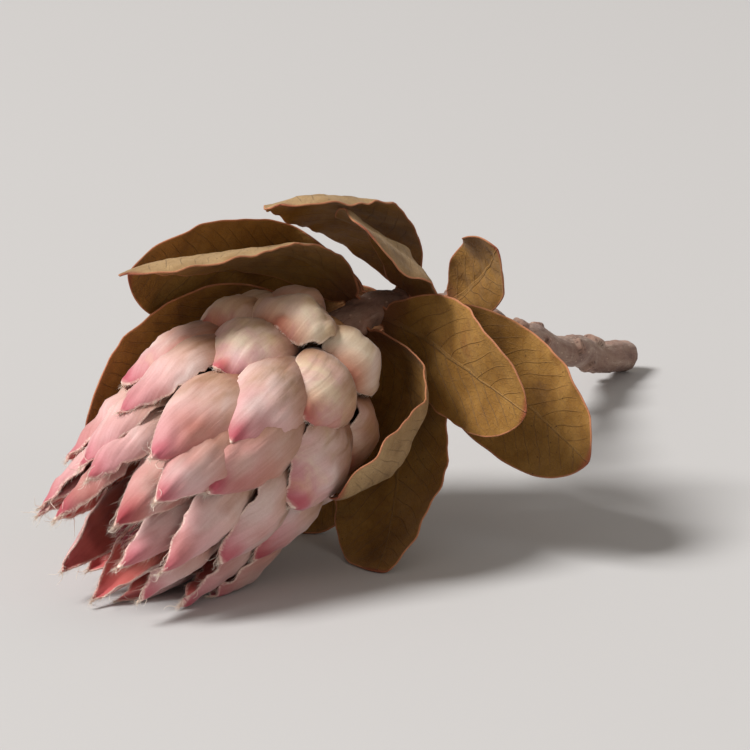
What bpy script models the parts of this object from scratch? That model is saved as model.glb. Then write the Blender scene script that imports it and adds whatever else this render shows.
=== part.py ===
"""A dried protea: one flower head on a cut woody stem with its leaves, lying on a surface.

Metres, +Z up. The origin is at the bottom centre of the part's box, and the surface is at Z 0.
The head points along -X and the cut end of the stem along +X.
"""

import math
import random
from collections import namedtuple

import bmesh
import bpy
import numpy as np
from mathutils import Matrix, Vector

# Where the head meets the stem, and how the head lies
NECK = Vector((-0.0503, 0.0080, 0.0568))
HEAD_NOD = math.radians(26)
HEAD_TURN = math.radians(9)
NECK_GAP = 0.0009

# The head: the outline that its bract tips lie on, and its core, as (height above the neck, radius)
HEAD_OUTLINE = (
    (0.000, 0.0070),
    (0.005, 0.0160),
    (0.014, 0.0248),
    (0.027, 0.0294),
    (0.044, 0.0304),
    (0.061, 0.0300),
    (0.076, 0.0288),
    (0.088, 0.0258),
    (0.097, 0.0208),
    (0.102, 0.0130),
)
CORE_OUTLINE = (
    (0.000, 0.0000),
    (0.000, 0.0062),
    (0.008, 0.0115),
    (0.020, 0.0150),
    (0.034, 0.0155),
    (0.044, 0.0125),
    (0.047, 0.0080),
    (0.047, 0.0000),
)
CORE_SIDES = 20
GOLDEN_ANGLE = math.radians(137.508)

# The bracts, from share 0 for the lowest to 1 for the innermost
BRACTS = 46
BRACT_SEED = 11
BRACT_THICKNESS = 0.0011
BRACT_GRID = (6, 4)
FIRST_TIP = 0.020
TIP_CROWDING = 1.5
TIP_SCATTER_ALONG = (-0.0042, 0.0030)
TIP_SCATTER_OUT = (-0.0016, 0.0032)
TIP_LEAN = math.radians(6)
TIP_LEAN_SCATTER = (-8, 18)
STEEPEST_TIP = math.radians(-16)
SLOPE_STEP = 0.001
TURN_SCATTER = 10
ROLL_SCATTER = 13
SKEW_SCATTER = 0.0022
WIDTH_SCATTER = (0.90, 1.08)
LOWEST_TIP_SCATTER = 0.5
LOWEST_SKEW = 0.4

# How the bracts change from low to high, as (share, value)
BRACT_WIDTH = ((0, 0.0205), (0.25, 0.0245), (0.55, 0.0200), (1, 0.0140))
BRACT_ROOT_RADIUS = ((0, 0.0050), (0.5, 0.0120), (1, 0.0085))
BRACT_ROOT_HEIGHT = ((0, 0.0020), (1, 0.0400))
BRACT_ROOT_ANGLE = ((0, 62), (0.4, 48), (1, 14))
BRACT_PLUMP = ((0, 0.0038), (0.45, 0.0030), (0.8, 0.0010))
BRACT_HOOK = ((0, 0.0048), (0.5, 0.0028), (1, 0.0016))
BRACT_CUP = ((0, 58), (0.5, 56), (1, 62))
TIP_CUPPING = 0.32
TIP_CUPS_FROM = 0.5
BRACT_WIDEST = ((0, 0.58), (1, 0.62))
BRACT_BLUNT = ((0, 2.2), (0.3, 1.7), (1, 1.35))
BRACT_TAPER = ((0, 0.52), (0.3, 0.78), (1, 0.95))
BRACT_FOOT_WIDTH = 0.45
ROOT_REACH = 0.38
TIP_REACH = 0.36

# The heart of florets: heights above the neck and radii
FLORETS = 28
FLORET_RADIUS = 0.0011
FLORET_WIDTHS = (0.70, 0.75, 1.00, 0.45)
FLORET_SPREAD = (0.86, 0.93, 0.96, 0.95)
FLORET_BUNDLE = 0.0070
FLORET_FOOT = 0.0473
FLORET_SUNK = 0.001
FLORET_KNEE = 0.020
FLORET_CLUB = 0.008
FLORET_TIP = 0.0900
FLORET_DOME = 0.010
FLORET_ROUNDING = 0
FOOT_OUTLINE = ((0, 0), (0, 0.0063), (0.006, 0.0070), (0.012, 0))
FOOT_SIDES = 12

# The stem, from the neck to the cut end
CUT_END = Vector((0.1447, 0.0290, 0.0047))
CUT_END_SLOPE = math.radians(12)
CUT_END_ASIDE = 0.12
NECK_REACH = 0.038
CUT_END_REACH = 0.095
STEM_RADIUS = 0.0044
STEM_NECK_RADIUS = 0.0056
STEM_CUT_RADIUS = 0.0049
STEM_POINTS = 36
STEM_ROUNDING = 2
STEM_SWAY = 0.0008
STEM_TURNS = 7
SWAY_FADES = (0.3, 0.1)
STEM_SWELL = 0.04
STEM_SAMPLES = 401
DIRECTION_STEP = 0.01

# The scars of old leaves, as low bumps on the stem
SCARS = 15
SCAR_SEED = 5
SCARS_START = 0.066
SCARS_STEP = 0.0088
SCAR_SIZE = 0.0024
SCAR_SIZES = (0.85, 1.25)
SCAR_WIDE = 1.25
SCAR_SUNK = 0.86
SCAR_SCATTER = 0.2

# The leaves: distance behind the neck, turn about the stem from its upper side, length, width,
# angles to the stem at the base, at a third and at the tip, cup across, twist, sideways bend
Leaf = namedtuple("Leaf", "behind turn length width base middle tip cup twist bend")
LEAVES = (
    Leaf(0.005, 98, 0.086, 0.044, 86, 34, -12, 0.65, 0, 0.00),
    Leaf(0.008, 228, 0.074, 0.036, 98, 42, -12, 0.70, -6, 0.03),
    Leaf(0.011, 26, 0.084, 0.036, 64, 20, 8, 0.25, -14, 0.02),
    Leaf(0.014, 158, 0.072, 0.036, 100, 52, 10, 0.45, 0, 0.00),
    Leaf(0.015, 256, 0.058, 0.032, 92, 66, 76, 0.15, 2, -0.02),
    Leaf(0.021, 76, 0.076, 0.034, 84, 38, 6, 0.40, -6, 0.00),
    Leaf(0.025, 200, 0.078, 0.036, 84, 62, 44, 0.40, 0, 0.00),
    Leaf(0.029, 334, 0.052, 0.034, 62, 20, 14, 0.30, -8, -0.04),
    Leaf(0.033, 110, 0.080, 0.038, 92, 62, 14, 0.45, 0, 0.02),
    Leaf(0.037, 240, 0.072, 0.034, 84, 84, 66, 0.25, 6, 0.03),
    Leaf(0.041, 16, 0.078, 0.030, 46, 20, -12, 0.30, -6, 0.00),
    Leaf(0.046, 166, 0.072, 0.032, 80, 62, 60, 0.35, -8, 0.00),
    Leaf(0.053, 298, 0.040, 0.022, 56, 50, 34, 0.45, 14, 0.04),
)
LEAF_TURN_IN = 0.42
LEAF_TIP_TURNS_FROM = 0.6 * LEAF_TURN_IN
LEAF_SAMPLES = 240
LEAF_THICKNESS = 0.0009
LEAF_GRID = (10, 6)
LEAF_WIDEST = 0.52
LEAF_BASE_CURVE = (2.1, 0.72)
LEAF_TIP_CURVE = (2.3, 0.60)
LEAF_BASE_WIDTH = 0.0052
LEAF_FOOT = 0.12
LEAF_CLASP = 0.10
LEAF_WAVE = 0.0011
LEAF_WAVES = 1.7
LEAF_WAVE_SHIFT = 0.37
LEAF_WAVE_LAG = 1.3
LEAF_SEAT_GAP = 0.0003

# How a blade's underside flattens against the surface that the flower lies on
PRESSED = 0.0012

# Closer points than this are made one
WELD = 0.00001

COLOURS = {
    "stem": ((0.42, 0.28, 0.23), 0.80),
    "bracts": ((0.86, 0.55, 0.52), 0.60),
    "florets": ((0.74, 0.58, 0.47), 0.85),
    "leaves": ((0.34, 0.25, 0.10), 0.62),
}


def smooth_line(points, x):
    """The second value at x on a smooth line through points, as arrays."""
    xs, ys = (np.array(values) for values in zip(*points))
    slopes = np.gradient(ys, xs)
    i = np.clip(np.searchsorted(xs, x, side="right") - 1, 0, len(xs) - 2)
    step = xs[i + 1] - xs[i]
    t = np.clip((x - xs[i]) / step, 0, 1)
    rise = t * t * (3 - 2 * t)
    bend_in = t * (1 - t) ** 2 * step * slopes[i]
    bend_out = t * t * (t - 1) * step * slopes[i + 1]
    return ys[i] * (1 - rise) + ys[i + 1] * rise + bend_in + bend_out


def ease(t):
    t = np.clip(t, 0, 1)
    return t * t * (3 - 2 * t)


def at_share(pairs, share):
    """The value at a share, between the (share, value) pairs on either side of it."""
    return float(np.interp(share, *zip(*pairs)))


# The stem's line


def head_direction():
    level = math.cos(HEAD_NOD)
    return Vector(
        (
            -level * math.cos(HEAD_TURN),
            level * math.sin(HEAD_TURN),
            -math.sin(HEAD_NOD),
        )
    )


def stem_point(t):
    """The stem's middle from the neck, t 0, to the cut end, t 1, on one Bezier curve."""
    towards_end = Vector((math.cos(CUT_END_SLOPE), CUT_END_ASIDE, -math.sin(CUT_END_SLOPE)))
    second = NECK - head_direction() * NECK_REACH
    third = CUT_END - towards_end * CUT_END_REACH
    back = 1 - t
    return (
        NECK * back**3
        + second * (3 * back**2 * t)
        + third * (3 * back * t**2)
        + CUT_END * t**3
    )


def stem_share(behind):
    """The stem's t at a distance behind the neck, measured along the stem."""
    steps = np.linspace(0, 1, STEM_SAMPLES)
    places = np.array([stem_point(t) for t in steps])
    walked = np.concatenate([[0], np.cumsum(np.linalg.norm(np.diff(places, axis=0), axis=1))])
    return float(np.interp(behind, walked, steps))


def stem_axes(t):
    """Axes in the stem at t: Z along the stem towards the head and X on its upper side.

    The stem makes a small zigzag from one leaf scar to the next.
    """
    forward = (stem_point(t - DIRECTION_STEP) - stem_point(t + DIRECTION_STEP)).normalized()
    axes = axes_at(stem_point(t), forward)
    turn = 2 * math.pi * t * STEM_TURNS
    sway = STEM_SWAY * min(1, t / SWAY_FADES[0]) * min(1, (1 - t) / SWAY_FADES[1])
    return axes @ Matrix.Translation((sway * math.cos(turn), sway * math.sin(turn), 0))


def axes_at(place, forward):
    """A frame at a place with Z along forward and X as near to upright as that allows."""
    up = (Vector((0, 0, 1)) - forward * forward.z).normalized()
    side = forward.cross(up)
    axes = Matrix((up, side, forward)).transposed().to_4x4()
    axes.translation = place
    return axes


def stem_radius(t):
    swell = math.exp(-((t / STEM_SWELL) ** 2)) * (STEM_NECK_RADIUS - STEM_RADIUS)
    return STEM_RADIUS + swell + (STEM_CUT_RADIUS - STEM_RADIUS) * t * t


# The head


Bract = namedtuple(
    "Bract",
    "share turn root_r root_z tip_r tip_z tip_angle width plump hook cup skew roll",
)


def bract_plan():
    """Every bract of the head, from the lowest and outermost to the innermost."""
    draw = random.Random(BRACT_SEED)
    heights, radii = (np.array(values) for values in zip(*HEAD_OUTLINE))
    walked = np.concatenate([[0], np.cumsum(np.hypot(np.diff(heights), np.diff(radii)))])
    plan = []
    for k in range(BRACTS):
        share = k / (BRACTS - 1)
        looser = LOWEST_TIP_SCATTER + share
        up_outline = FIRST_TIP + (walked[-1] - FIRST_TIP) * (1 - (1 - share) ** TIP_CROWDING)
        up_outline = min(up_outline + draw.uniform(*TIP_SCATTER_ALONG) * looser, walked[-1])
        tip_z = float(np.interp(up_outline, walked, heights))
        near = np.array((tip_z - SLOPE_STEP, tip_z, tip_z + SLOPE_STEP))
        around = smooth_line(HEAD_OUTLINE, near)
        outline_angle = math.atan2(around[2] - around[0], 2 * SLOPE_STEP)
        lean = TIP_LEAN + math.radians(draw.uniform(*TIP_LEAN_SCATTER)) * share
        plan.append(
            Bract(
                share=share,
                turn=k * GOLDEN_ANGLE + math.radians(draw.uniform(-TURN_SCATTER, TURN_SCATTER)),
                root_r=at_share(BRACT_ROOT_RADIUS, share),
                root_z=at_share(BRACT_ROOT_HEIGHT, share),
                tip_r=around[1] + draw.uniform(*TIP_SCATTER_OUT) * looser,
                tip_z=tip_z,
                tip_angle=max(outline_angle, STEEPEST_TIP) + lean,
                width=at_share(BRACT_WIDTH, share) * draw.uniform(*WIDTH_SCATTER),
                plump=at_share(BRACT_PLUMP, share),
                hook=at_share(BRACT_HOOK, share),
                cup=math.radians(at_share(BRACT_CUP, share)),
                skew=draw.uniform(-SKEW_SCATTER, SKEW_SCATTER) * (LOWEST_SKEW + share),
                roll=math.radians(draw.uniform(-ROLL_SCATTER, ROLL_SCATTER)),
            )
        )
    return plan


def bract_outline(share, u):
    """Half width at u, as a share of the full half width: blunt low on the head, pointed inside."""
    widest = at_share(BRACT_WIDEST, share)
    foot = BRACT_FOOT_WIDTH + (1 - BRACT_FOOT_WIDTH) * ease(u / widest)
    over = np.clip((u - widest) / (1 - widest), 0, 1)
    rounded = (1 - over ** at_share(BRACT_BLUNT, share)) ** at_share(BRACT_TAPER, share)
    return np.where(u < widest, foot, rounded)


def bract_surface(bract, u, v):
    """Points in the head's frame of a bract's middle surface: u from root to tip, v across."""
    root = np.array((bract.root_r, bract.root_z))
    tip = np.array((bract.tip_r, bract.tip_z))
    reach = float(np.linalg.norm(tip - root))
    lean = np.array((math.sin(bract.tip_angle), math.cos(bract.tip_angle)))
    rise = math.radians(at_share(BRACT_ROOT_ANGLE, bract.share))
    second = root + ROOT_REACH * reach * np.array((math.sin(rise), math.cos(rise)))
    third = tip - TIP_REACH * reach * lean
    w = 1 - u
    line = (
        root[:, None] * w**3
        + second[:, None] * (3 * w**2 * u)
        + third[:, None] * (3 * w * u**2)
        + tip[:, None] * u**3
    )
    along = (
        (second - root)[:, None] * (3 * w**2)
        + (third - second)[:, None] * (6 * w * u)
        + (tip - third)[:, None] * (3 * u**2)
    )
    along /= np.linalg.norm(along, axis=0)
    outward = np.array((along[1], -along[0]))
    half = 0.5 * bract.width * bract_outline(bract.share, u)
    cup = bract.cup * (1 + TIP_CUPPING * ease((u - TIP_CUPS_FROM) / (1 - TIP_CUPS_FROM)))
    lateral = half * np.sin(cup * v) / np.sin(cup)
    inward = half * (1 - np.cos(cup * v)) / np.sin(cup)
    proud = bract.plump * np.sin(math.pi * u) ** 2 - bract.hook * u**6
    proud = proud - inward + lateral * math.sin(bract.roll) * u
    lateral = lateral + bract.skew * u**3
    r = line[0] + outward[0] * proud
    z = line[1] + outward[1] * proud
    turn = np.array((math.cos(bract.turn), math.sin(bract.turn)))
    return np.stack((r * turn[0] - lateral * turn[1], r * turn[1] + lateral * turn[0], z), axis=-1)


# The leaves


def leaf_outline(u):
    """Half width at u as a share of the full half width: a broad blade with a rounded tip."""
    low = np.clip(1 - u / LEAF_WIDEST, 0, 1)
    high = np.clip((u - LEAF_WIDEST) / (1 - LEAF_WIDEST), 0, 1)
    below = (1 - low ** LEAF_BASE_CURVE[0]) ** LEAF_BASE_CURVE[1]
    above = (1 - high ** LEAF_TIP_CURVE[0]) ** LEAF_TIP_CURVE[1]
    return np.where(u < LEAF_WIDEST, below, above)


def leaf_surface(leaf, number, radius, u, v):
    """Points of a leaf's middle surface, from its seat on a stem of this radius.

    X points away from the stem and Z along it. The foot of the leaf clasps the stem.
    """
    fine = np.linspace(0, 1, LEAF_SAMPLES)
    low = leaf.base + (leaf.middle - leaf.base) * ease(fine / LEAF_TURN_IN)
    towards_tip = ease((fine - LEAF_TIP_TURNS_FROM) / (1 - LEAF_TIP_TURNS_FROM))
    high = (leaf.tip - leaf.middle) * towards_tip
    angle = np.radians(low + high)
    step = leaf.length / (len(fine) - 1)
    out = np.interp(u, fine, np.cumsum(np.sin(angle)) * step)
    along = np.interp(u, fine, np.cumsum(np.cos(angle)) * step)
    angle = np.interp(u, fine, angle)
    half = 0.5 * leaf.width * leaf_outline(u)
    half = np.maximum(half, 0.5 * LEAF_BASE_WIDTH * (1 - ease(u / LEAF_FOOT)))
    lateral = half * np.sin(leaf.cup * v) / leaf.cup
    raised = half * (1 - np.cos(leaf.cup * v)) / leaf.cup
    lag = LEAF_WAVE_LAG * np.sign(v)
    wave = np.sin(2 * math.pi * (LEAF_WAVES * u + LEAF_WAVE_SHIFT * number) + lag)
    raised = raised + LEAF_WAVE * wave * v**2 * np.sin(math.pi * u)
    twist = np.radians(leaf.twist) * u
    side = lateral * np.cos(twist) - raised * np.sin(twist) + leaf.bend * leaf.length * u**2
    lift = lateral * np.sin(twist) + raised * np.cos(twist)
    out = out - side**2 / (2 * radius) * (1 - ease(u / LEAF_CLASP))
    return np.stack(
        (out - np.cos(angle) * lift, side, along + np.sin(angle) * lift), axis=-1
    )


# Building


def clear_scene():
    for thing in list(bpy.data.objects):
        bpy.data.objects.remove(thing)


def collection(name, hidden=False):
    made = bpy.data.collections.new(name)
    bpy.context.scene.collection.children.link(made)
    made.hide_render = hidden
    return made


def material(name, colour, roughness):
    made = bpy.data.materials.new(name)
    made.use_nodes = True
    shader = made.node_tree.nodes["Principled BSDF"]
    shader.inputs["Base Color"].default_value = (*colour, 1)
    shader.inputs["Roughness"].default_value = roughness
    shader.inputs["Metallic"].default_value = 0
    return made


def pressed(place, axes, thickness):
    """The place of a blade's middle, kept above the surface that the flower lies on."""
    rest = 0.5 * thickness
    lies = axes @ Vector(place)
    over = (lies.z - rest) / PRESSED
    if over < 1:
        lies.z = rest + PRESSED * max(over + 1, 0) ** 2 / 4
    return axes.inverted() @ lies


def blade_mesh(name, surface, grid, thickness, axes):
    """A closed blade: a grid laid on surface(u, v), split into triangles and thickened."""
    shape = bmesh.new()
    bmesh.ops.create_grid(shape, x_segments=grid[0], y_segments=grid[1], size=1)
    corners = np.array([vert.co for vert in shape.verts])
    even = (corners[:, 0] + 1) / 2
    u = (1 - np.cos(math.pi * even)) / 2
    for vert, point in zip(shape.verts, surface(u, corners[:, 1])):
        vert.co = pressed(point, axes, thickness)
    tip = [vert for vert, place in zip(shape.verts, even) if place > 0.999]
    bmesh.ops.pointmerge(shape, verts=tip, merge_co=tip[len(tip) // 2].co)
    bmesh.ops.triangulate(shape, faces=shape.faces)
    mesh = bpy.data.meshes.new(name)
    shape.to_mesh(mesh)
    shape.free()
    made = bpy.data.objects.new(name, mesh)
    made.matrix_world = axes
    solid = made.modifiers.new("thickness", "SOLIDIFY")
    solid.thickness = thickness
    solid.offset = 0
    return made


def realised(thing, into):
    """The object with its modifiers applied, its faces pointing out and its ends welded."""
    bpy.context.view_layer.update()
    graph = bpy.context.evaluated_depsgraph_get()
    mesh = bpy.data.meshes.new_from_object(thing.evaluated_get(graph))
    shape = bmesh.new()
    shape.from_mesh(mesh)
    bmesh.ops.remove_doubles(shape, verts=shape.verts, dist=WELD)
    bmesh.ops.recalc_face_normals(shape, faces=shape.faces)
    shape.to_mesh(mesh)
    shape.free()
    name, place = thing.name, thing.matrix_world.copy()
    bpy.data.objects.remove(thing)
    made = bpy.data.objects.new(name, mesh)
    made.matrix_world = place
    into.objects.link(made)
    return made


def joined(base, pieces, solver):
    """Base with every object of a collection fused to it, and the collection's objects removed."""
    union = base.modifiers.new("fuse", "BOOLEAN")
    union.operation = "UNION"
    union.operand_type = "COLLECTION"
    union.collection = pieces
    union.solver = solver
    bpy.context.view_layer.update()
    graph = bpy.context.evaluated_depsgraph_get()
    mesh = bpy.data.meshes.new_from_object(base.evaluated_get(graph))
    base.modifiers.clear()
    base.data = mesh
    for thing in list(pieces.objects):
        bpy.data.objects.remove(thing)
    return base


def turned(name, outline, steps):
    """A solid of revolution about Z from an outline of (height, radius), listed upwards."""
    shape = bmesh.new()
    rings = [shape.verts.new((radius, 0, height)) for height, radius in reversed(outline)]
    for first, second in zip(rings, rings[1:]):
        shape.edges.new((first, second))
    mesh = bpy.data.meshes.new(name)
    shape.to_mesh(mesh)
    shape.free()
    made = bpy.data.objects.new(name, mesh)
    screw = made.modifiers.new("turn", "SCREW")
    screw.steps = screw.render_steps = steps
    screw.use_merge_vertices = True
    screw.merge_threshold = WELD
    return made


def rod(name, points, radii, resolution):
    """A rod through points, as a curve with filled ends."""
    line = bpy.data.curves.new(name, "CURVE")
    line.dimensions = "3D"
    line.bevel_depth = 1
    line.bevel_resolution = resolution
    line.use_fill_caps = True
    spline = line.splines.new("POLY")
    spline.points.add(len(points) - 1)
    for point, place, radius in zip(spline.points, points, radii):
        point.co = (*place, 1)
        point.radius = radius
    return bpy.data.objects.new(name, line)


def build_stem(part, pieces):
    start = stem_share(NECK_GAP)
    steps = [start + (1 - start) * i / STEM_POINTS for i in range(STEM_POINTS + 1)]
    places = [stem_axes(t).translation for t in steps]
    tube = rod("stem", places, [stem_radius(t) for t in steps], STEM_ROUNDING)
    part.objects.link(tube)
    tube = realised(tube, part)
    draw = random.Random(SCAR_SEED)
    for k in range(SCARS):
        step = k + draw.uniform(-SCAR_SCATTER, SCAR_SCATTER)
        t = stem_share(SCARS_START + SCARS_STEP * step)
        size = SCAR_SIZE * draw.uniform(*SCAR_SIZES)
        bpy.ops.mesh.primitive_ico_sphere_add(subdivisions=1, radius=1)
        scar = bpy.context.object
        for holder in list(scar.users_collection):
            holder.objects.unlink(scar)
        pieces.objects.link(scar)
        turn = Matrix.Rotation(k * GOLDEN_ANGLE, 4, "Z")
        out = Matrix.Translation((stem_radius(t) * SCAR_SUNK, 0, 0))
        shape = Matrix.Diagonal((size, size * SCAR_WIDE, size, 1))
        scar.matrix_world = stem_axes(t) @ turn @ out @ shape
    return joined(tube, pieces, "EXACT")


def build_bracts(part, pieces, head_axes):
    core = turned("bracts", CORE_OUTLINE, CORE_SIDES)
    part.objects.link(core)
    core.matrix_world = head_axes
    core = realised(core, part)
    for number, bract in enumerate(bract_plan()):
        blade = blade_mesh(
            f"bract_{number}",
            lambda u, v, bract=bract: bract_surface(bract, u, v),
            BRACT_GRID,
            BRACT_THICKNESS,
            head_axes,
        )
        pieces.objects.link(blade)
    return joined(core, pieces, "MANIFOLD")


def build_florets(part, pieces, head_axes):
    foot = turned("florets", [(FLORET_FOOT + z, r) for z, r in FOOT_OUTLINE], FOOT_SIDES)
    part.objects.link(foot)
    foot.matrix_world = head_axes
    foot = realised(foot, part)
    for k in range(FLORETS):
        turn = k * GOLDEN_ANGLE
        out = FLORET_BUNDLE * math.sqrt((k + 0.5) / FLORETS)
        tip = FLORET_TIP - FLORET_DOME * (out / FLORET_BUNDLE) ** 2
        heights = (FLORET_FOOT + FLORET_SUNK, FLORET_FOOT + FLORET_KNEE, tip - FLORET_CLUB, tip)
        points = [
            (out * spread * math.cos(turn), out * spread * math.sin(turn), z)
            for spread, z in zip(FLORET_SPREAD, heights)
        ]
        widths = [FLORET_RADIUS * width for width in FLORET_WIDTHS]
        floret = rod(f"floret_{k}", points, widths, FLORET_ROUNDING)
        pieces.objects.link(floret)
        floret.matrix_world = head_axes
        realised(floret, pieces)
    return joined(foot, pieces, "MANIFOLD")


def build_leaf(part, number, leaf):
    t = stem_share(leaf.behind)
    radius = stem_radius(t)
    turn = Matrix.Rotation(math.radians(leaf.turn), 4, "Z")
    rim = 0.5 * LEAF_THICKNESS * math.cos(math.radians(leaf.base))
    out = Matrix.Translation((radius + LEAF_SEAT_GAP + rim, 0, 0))
    blade = blade_mesh(
        f"leaf_{number:02d}",
        lambda u, v: leaf_surface(leaf, number, radius, u, v),
        LEAF_GRID,
        LEAF_THICKNESS,
        stem_axes(t) @ turn @ out,
    )
    part.objects.link(blade)
    return blade


def main():
    clear_scene()
    part = collection("protea_flower")
    pieces = collection("pieces", hidden=True)
    finishes = {name: material(name, *look) for name, look in COLOURS.items()}
    head_axes = axes_at(NECK, head_direction())
    stem = build_stem(part, pieces)
    bracts = build_bracts(part, pieces, head_axes)
    florets = build_florets(part, pieces, head_axes)
    leaves = [build_leaf(part, i + 1, leaf) for i, leaf in enumerate(LEAVES)]
    bpy.data.collections.remove(pieces)
    for thing, finish in [(stem, "stem"), (bracts, "bracts"), (florets, "florets")] + [
        (leaf, "leaves") for leaf in leaves
    ]:
        thing.data.materials.clear()
        thing.data.materials.append(finishes[finish])
        thing.data.shade_smooth()


main()
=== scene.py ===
import math
import random
from collections import namedtuple

import bpy
import numpy as np
from mathutils import Matrix, Vector


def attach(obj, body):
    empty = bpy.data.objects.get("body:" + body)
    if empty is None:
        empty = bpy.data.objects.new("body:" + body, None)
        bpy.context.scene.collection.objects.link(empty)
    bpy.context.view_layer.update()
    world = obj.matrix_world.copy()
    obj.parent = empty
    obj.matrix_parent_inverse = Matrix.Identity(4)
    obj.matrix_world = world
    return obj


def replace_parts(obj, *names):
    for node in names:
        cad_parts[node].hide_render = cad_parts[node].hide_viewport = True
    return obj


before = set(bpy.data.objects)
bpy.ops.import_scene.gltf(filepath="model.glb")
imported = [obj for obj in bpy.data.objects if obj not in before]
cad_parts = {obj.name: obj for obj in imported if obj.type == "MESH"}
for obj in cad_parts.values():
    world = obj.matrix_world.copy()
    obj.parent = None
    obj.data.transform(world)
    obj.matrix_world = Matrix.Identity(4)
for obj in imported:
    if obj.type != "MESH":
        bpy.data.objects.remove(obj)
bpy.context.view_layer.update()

# Where the head meets the stem, and how the head lies
NECK = Vector((-0.0503, 0.0080, 0.0568))
HEAD_NOD = math.radians(26)
HEAD_TURN = math.radians(9)

# The outline that the bract tips lie on, as (height above the neck, radius)
HEAD_OUTLINE = (
    (0.000, 0.0070), (0.005, 0.0160), (0.014, 0.0248), (0.027, 0.0294),
    (0.044, 0.0304), (0.061, 0.0300), (0.076, 0.0288), (0.088, 0.0258),
    (0.097, 0.0208), (0.102, 0.0130),
)
CORE_OUTLINE = (
    (0.000, 0.0000), (0.000, 0.0062), (0.008, 0.0115), (0.020, 0.0150),
    (0.034, 0.0155), (0.044, 0.0125), (0.047, 0.0080), (0.047, 0.0000),
)
GOLDEN_ANGLE = math.radians(137.508)

# The bracts, from share 0 for the lowest to 1 for the innermost
BRACTS = 46
BRACT_SEED = 11
BRACT_THICKNESS = 0.0011
BRACT_RIM = 0.0004
BRACT_GRID = (48, 44)
FIRST_TIP = 0.020
TIP_CROWDING = 1.5
TIP_SCATTER_ALONG = (-0.0042, 0.0030)
TIP_SCATTER_OUT = (-0.0016, 0.0032)
TIP_LEAN = math.radians(6)
TIP_LEAN_SCATTER = (-8, 18)
STEEPEST_TIP = math.radians(-16)
SLOPE_STEP = 0.001
TURN_SCATTER = 10
ROLL_SCATTER = 13
SKEW_SCATTER = 0.0022
WIDTH_SCATTER = (0.90, 1.08)
LOWEST_TIP_SCATTER = 0.5
LOWEST_SKEW = 0.4

# How the bracts change from low to high, as (share, value)
BRACT_WIDTH = ((0, 0.0205), (0.25, 0.0245), (0.55, 0.0200), (1, 0.0140))
BRACT_ROOT_RADIUS = ((0, 0.0050), (0.5, 0.0120), (1, 0.0085))
BRACT_ROOT_HEIGHT = ((0, 0.0020), (1, 0.0400))
BRACT_ROOT_ANGLE = ((0, 62), (0.4, 48), (1, 14))
BRACT_PLUMP = ((0, 0.0038), (0.45, 0.0030), (0.8, 0.0010))
BRACT_HOOK = ((0, 0.0048), (0.5, 0.0028), (1, 0.0016))
BRACT_CUP = ((0, 58), (0.5, 56), (1, 62))
TIP_CUPPING = 0.32
TIP_CUPS_FROM = 0.5
BRACT_WIDEST = ((0, 0.58), (1, 0.62))
BRACT_BLUNT = ((0, 2.2), (0.3, 1.7), (1, 1.35))
BRACT_TAPER = ((0, 0.52), (0.3, 0.78), (1, 0.95))
BRACT_FOOT_WIDTH = 0.45
ROOT_REACH = 0.38
TIP_REACH = 0.36

# The florets: heights above the neck and radii
FLORETS = 28
FLORET_RADIUS = 0.0011
FLORET_WIDTHS = (0.70, 0.75, 1.00, 0.45)
FLORET_SPREAD = (0.86, 0.93, 0.96, 0.95)
FLORET_BUNDLE = 0.0070
FLORET_FOOT = 0.0473
FLORET_KNEE = 0.020
FLORET_CLUB = 0.008
FLORET_TIP = 0.0900
FLORET_DOME = 0.010

# The stem, from the neck to the cut end
CUT_END = Vector((0.1447, 0.0290, 0.0047))
CUT_END_SLOPE = math.radians(12)
CUT_END_ASIDE = 0.12
NECK_REACH = 0.038
CUT_END_REACH = 0.095
STEM_RADIUS = 0.0044
STEM_NECK_RADIUS = 0.0056
STEM_CUT_RADIUS = 0.0049
STEM_SWAY = 0.0008
STEM_TURNS = 7
SWAY_FADES = (0.3, 0.1)
STEM_SWELL = 0.04
STEM_SAMPLES = 401
DIRECTION_STEP = 0.01
STEM_RINGS = 460
STEM_SIDES = 64

# The scars of old leaves
SCARS = 15
SCAR_SEED = 5
SCARS_START = 0.066
SCARS_STEP = 0.0088
SCAR_SIZE = 0.0024
SCAR_SIZES = (0.85, 1.25)
SCAR_SCATTER = 0.2

# The leaves: distance behind the neck, turn about the stem from its upper side, length, width,
# angles to the stem at the base, at a third and at the tip, cup across, twist, sideways bend
Leaf = namedtuple("Leaf", "behind turn length width base middle tip cup twist bend")
LEAVES = (
    Leaf(0.005, 98, 0.086, 0.044, 86, 34, -12, 0.65, 0, 0.00),
    Leaf(0.008, 228, 0.074, 0.036, 98, 42, -12, 0.70, -6, 0.03),
    Leaf(0.011, 26, 0.084, 0.036, 64, 20, 8, 0.25, -14, 0.02),
    Leaf(0.014, 158, 0.072, 0.036, 100, 52, 10, 0.45, 0, 0.00),
    Leaf(0.015, 256, 0.058, 0.032, 92, 66, 76, 0.15, 2, -0.02),
    Leaf(0.021, 76, 0.076, 0.034, 84, 38, 6, 0.40, -6, 0.00),
    Leaf(0.025, 200, 0.078, 0.036, 84, 62, 44, 0.40, 0, 0.00),
    Leaf(0.029, 334, 0.052, 0.034, 62, 20, 14, 0.30, -8, -0.04),
    Leaf(0.033, 110, 0.080, 0.038, 92, 62, 14, 0.45, 0, 0.02),
    Leaf(0.037, 240, 0.072, 0.034, 84, 84, 66, 0.25, 6, 0.03),
    Leaf(0.041, 16, 0.078, 0.030, 46, 20, -12, 0.30, -6, 0.00),
    Leaf(0.046, 166, 0.072, 0.032, 80, 62, 60, 0.35, -8, 0.00),
    Leaf(0.053, 298, 0.040, 0.022, 56, 50, 34, 0.45, 14, 0.04),
)
LEAF_TURN_IN = 0.42
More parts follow.
